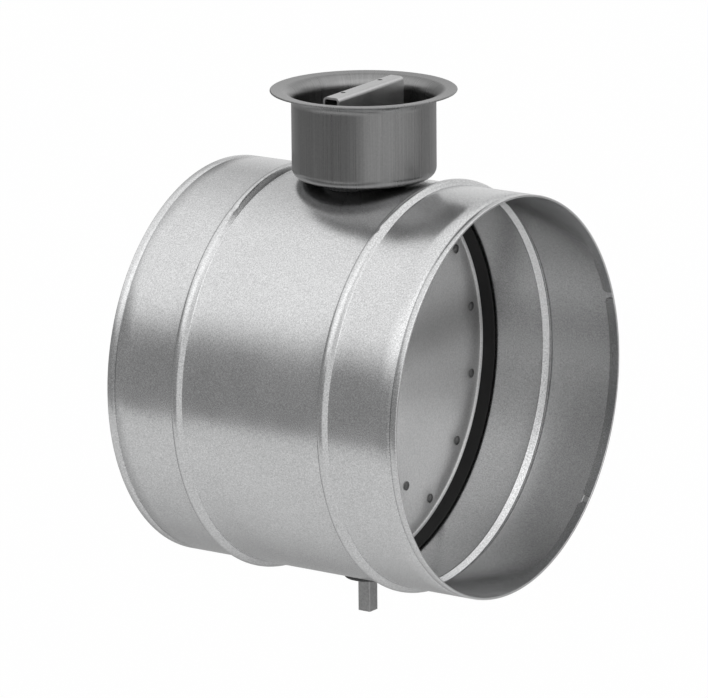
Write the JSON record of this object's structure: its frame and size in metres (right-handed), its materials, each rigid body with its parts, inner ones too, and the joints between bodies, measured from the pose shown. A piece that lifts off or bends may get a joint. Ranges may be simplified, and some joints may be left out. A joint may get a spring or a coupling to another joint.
{
  "type": "round shut-off damper",
  "caption": "Round duct shut-off damper: beaded sheet-metal tube, rubber-sealed blade on a square shaft, and a lockable lever in a raised cup.",
  "frame": {"origin": "centre of the duct, where its axis crosses the blade's shaft", "axes": "+X along the duct towards the end that the picture shows open, +Z along the shaft towards the handle's cup, +Y across the duct along the closed blade"},
  "size_m": [0.191, 0.2296, 0.2987],
  "materials": {
    "galvanised_sheet": "satin, fine spangle",
    "drawn_sheet": "satin with fine draw lines",
    "blade_sheet": "satin",
    "handle_sheet": "satin",
    "bar_steel": "dull, sawn end",
    "fastener_zinc": "zinc plated",
    "rivet_steel": "satin",
    "seal_rubber": "matt black",
    "bush_plastic": "matt dark grey"
  },
  "bodies": {
    "casing": {"casing": "galvanised_sheet", "cup_saddle": "galvanised_sheet", "lower_seat": "galvanised_sheet", "handle_cup": "drawn_sheet", "cup_rivets": "rivet_steel", "upper_bush": "bush_plastic", "lower_bush": "bush_plastic", "upper_bush_nut": "bush_plastic", "lower_bush_nut": "bush_plastic", "upper_bush_seal": "seal_rubber", "lower_bush_seal": "seal_rubber", "locking_studs": "fastener_zinc", "locking_washers": "fastener_zinc"},
    "blade": {"upper_sleeve": "bush_plastic", "lower_sleeve": "bush_plastic", "upper_shaft_seal": "seal_rubber", "lower_shaft_seal": "seal_rubber", "shaft": "bar_steel", "blade_front_disc": "blade_sheet", "blade_rear_disc": "blade_sheet", "gasket_right": "seal_rubber", "gasket_left": "seal_rubber", "blade_rivets": "rivet_steel", "blade_spacers": "fastener_zinc", "spacer_rivets": "rivet_steel", "shaft_rivets": "rivet_steel", "handle": "handle_sheet", "handle_bolt": "fastener_zinc", "handle_nut": "fastener_zinc"},
    "front_lock_nut": {"locking_nut_front": "fastener_zinc"},
    "rear_lock_nut": {"locking_nut_rear": "fastener_zinc"}
  },
  "joints": [
    {"name": "blade_turn", "type": "hinge", "parent": "casing", "child": "blade", "pos_m": [0, 0, 0], "axis": [0, 0, 1], "range_deg": [0, 90]},
    {"name": "front_lock_nut_turn", "type": "hinge", "parent": "casing", "child": "front_lock_nut", "pos_m": [0.01696, 0.01696, 0.12165], "axis": [0, 0, 1], "range_deg": [0, 180]},
    {"name": "rear_lock_nut_turn", "type": "hinge", "parent": "casing", "child": "rear_lock_nut", "pos_m": [-0.01696, -0.01696, 0.12165], "axis": [0, 0, 1], "range_deg": [0, 180]}
  ]
}
